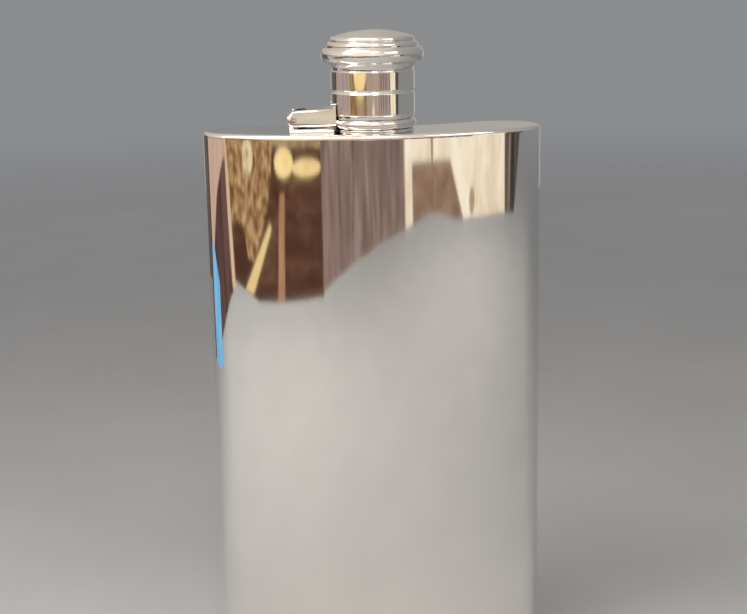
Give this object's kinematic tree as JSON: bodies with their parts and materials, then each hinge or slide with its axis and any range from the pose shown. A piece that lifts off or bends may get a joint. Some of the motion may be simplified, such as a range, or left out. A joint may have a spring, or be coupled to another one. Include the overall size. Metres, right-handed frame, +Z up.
{
  "type": "hip flask",
  "caption": "Mirror-polished metal hip flask with a curved kidney-section body and a captive bayonet cap on a side hinge.",
  "frame": {"origin": "centre of the overall bounding box's footprint on the rest plane, under the base plate; the neck axis is at x = 0, y = -3.088 mm", "axes": "+Z up along the neck; -Y is the convex front, +X to the right seen from the front, with the hinge on the -X side"},
  "size_m": [0.0764, 0.0288, 0.1461],
  "materials": {
    "polished_metal": "mirror polish",
    "satin_metal": "satin, unpolished inside faces",
    "seal_rubber": "matt"
  },
  "bodies": {
    "flask": {"body_front_shell": "polished_metal", "body_back_shell": "polished_metal", "top_plate": "polished_metal", "base_plate": "polished_metal", "neck_collar": "polished_metal", "neck_tube": "satin_metal", "bayonet_lug_front": "polished_metal", "bayonet_lug_back": "polished_metal", "hinge_bracket": "polished_metal", "hinge_pin": "polished_metal"},
    "arm": {"hinge_arm": "polished_metal"},
    "cap": {"cap_skirt": "polished_metal", "cap_top": "polished_metal", "cap_liner": "satin_metal", "cap_seal": "seal_rubber", "retaining_wire": "satin_metal"}
  },
  "joints": [
    {"name": "lid_swing", "type": "hinge", "parent": "flask", "child": "arm", "pos_m": [-0.0176, -0.00309, 0.12695], "axis": [0, -1, 0], "range_deg": [0, 123]},
    {"name": "cap_turn", "type": "hinge", "parent": "arm", "child": "cap", "pos_m": [0, -0.00309, 0.133], "axis": [0, 0, 1], "range_deg": [-60, 0]}
  ]
}
